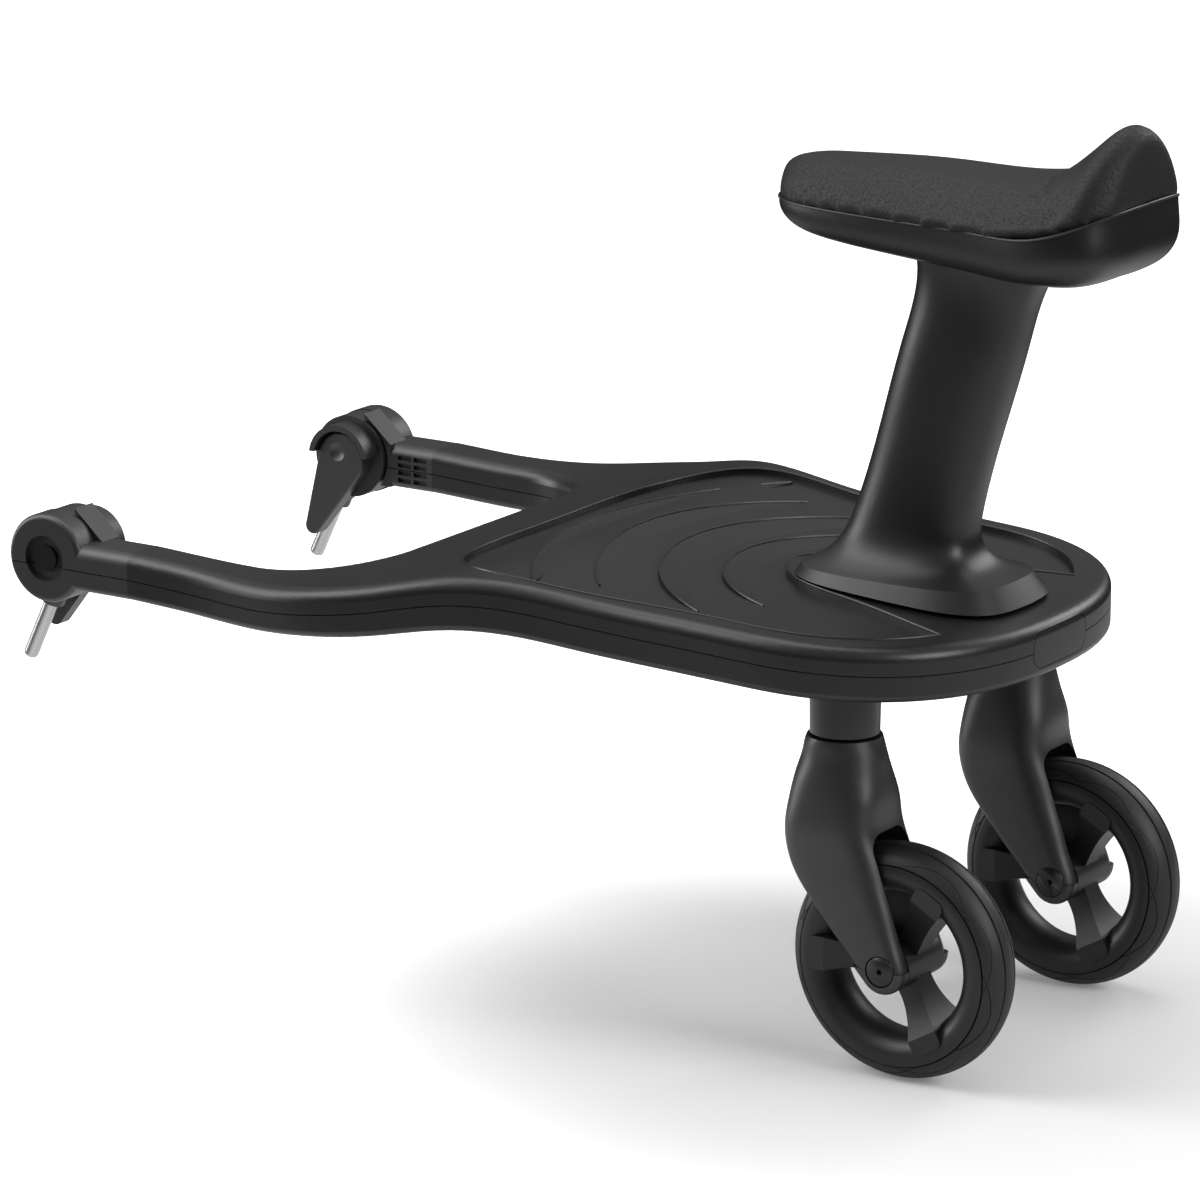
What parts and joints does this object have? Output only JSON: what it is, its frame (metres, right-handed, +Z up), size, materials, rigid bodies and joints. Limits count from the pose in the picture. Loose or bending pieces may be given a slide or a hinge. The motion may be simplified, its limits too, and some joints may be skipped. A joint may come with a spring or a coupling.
{
  "type": "buggy board",
  "caption": "Wheeled standing board with a saddle seat on a leaning post, caster wheels under the rear and arms that end in swivelling coupling pins.",
  "frame": {"origin": "on the floor under the middle of the object's box", "axes": "+X forward to the coupling pins, +Y to the left of someone riding on the board, +Z up"},
  "size_m": [0.6028, 0.337, 0.476],
  "materials": {
    "deck_plastic": "satin",
    "seat_plastic": "satin",
    "seat_cover": "fine grain",
    "adapter_plastic": "satin",
    "fork_plastic": "satin",
    "wheel_plastic": "satin",
    "inner_plastic": "plain",
    "tyre": "matt",
    "pin_metal": "satin",
    "steel": "plain",
    "black_steel": "black"
  },
  "bodies": {
    "board": {"deck_upper": "deck_plastic", "deck_lower": "deck_plastic", "deck_screws": "steel", "seat_socket": "inner_plastic", "seat_latch_clip": "steel", "button_springs": "steel", "caster_bush_left": "inner_plastic", "housing_upper_left": "adapter_plastic", "housing_lower_left": "adapter_plastic", "caster_bush_right": "inner_plastic", "housing_upper_right": "adapter_plastic", "housing_lower_right": "adapter_plastic"},
    "button": {"release_button": "deck_plastic"},
    "seat": {"seat_post": "seat_plastic", "seat_spigot": "inner_plastic", "seat_pan": "seat_plastic", "seat_cushion": "seat_cover"},
    "caster_left": {"caster_fork_left": "fork_plastic", "caster_stem_left": "steel", "stem_clip_left": "steel", "axle_bolt_left": "black_steel", "axle_nut_left": "black_steel"},
    "wheel_left": {"wheel_left": "wheel_plastic", "tyre_left": "tyre", "wheel_bearings_left": "inner_plastic"},
    "adapter_left": {"pin_carrier_left": "adapter_plastic", "coupling_pin_left": "pin_metal", "pivot_shaft_left": "steel"},
    "lever_left": {"lock_lever_left": "adapter_plastic"},
    "caster_right": {"caster_fork_right": "fork_plastic", "caster_stem_right": "steel", "stem_clip_right": "steel", "axle_bolt_right": "black_steel", "axle_nut_right": "black_steel"},
    "wheel_right": {"wheel_right": "wheel_plastic", "tyre_right": "tyre", "wheel_bearings_right": "inner_plastic"},
    "adapter_right": {"pin_carrier_right": "adapter_plastic", "coupling_pin_right": "pin_metal", "pivot_shaft_right": "steel"},
    "lever_right": {"lock_lever_right": "adapter_plastic"}
  },
  "joints": [
    {"name": "button_press", "type": "slide", "parent": "board", "child": "button", "axis": [1, 0, 0], "range_m": [0, 0.0045], "stiffness_N_per_m": 1200, "springref_m": -0.003, "deforming": ["button_springs", "seat_latch_clip"]},
    {"name": "seat_lift", "type": "slide", "parent": "board", "child": "seat", "axis": [0, 0, 1], "range_m": [0, 0.06], "deforming": ["seat_latch_clip"]},
    {"name": "caster_swivel_left", "type": "hinge", "parent": "board", "child": "caster_left", "pos_m": [-0.18386, 0.0875, 0.173], "axis": [0, 0, 1], "continuous": true},
    {"name": "wheel_spin_left", "type": "hinge", "parent": "caster_left", "child": "wheel_left", "pos_m": [-0.21986, 0.0875, 0.061], "axis": [0, 1, 0], "continuous": true},
    {"name": "pin_swing_left", "type": "hinge", "parent": "board", "child": "adapter_left", "pos_m": [0.26814, 0.1309, 0.2134], "axis": [0, 1, 0], "range_deg": [-30, 55]},
    {"name": "lever_turn_left", "type": "hinge", "parent": "adapter_left", "child": "lever_left", "pos_m": [0.26814, 0.117, 0.2134], "axis": [0, 1, 0], "range_deg": [0, 70]},
    {"name": "caster_swivel_right", "type": "hinge", "parent": "board", "child": "caster_right", "pos_m": [-0.18386, -0.0875, 0.173], "axis": [0, 0, 1], "continuous": true},
    {"name": "wheel_spin_right", "type": "hinge", "parent": "caster_right", "child": "wheel_right", "pos_m": [-0.21986, -0.0875, 0.061], "axis": [0, 1, 0], "continuous": true},
    {"name": "pin_swing_right", "type": "hinge", "parent": "board", "child": "adapter_right", "pos_m": [0.26814, -0.1309, 0.2134], "axis": [0, 1, 0], "range_deg": [-30, 55]},
    {"name": "lever_turn_right", "type": "hinge", "parent": "adapter_right", "child": "lever_right", "pos_m": [0.26814, -0.117, 0.2134], "axis": [0, 1, 0], "range_deg": [0, 70]}
  ]
}
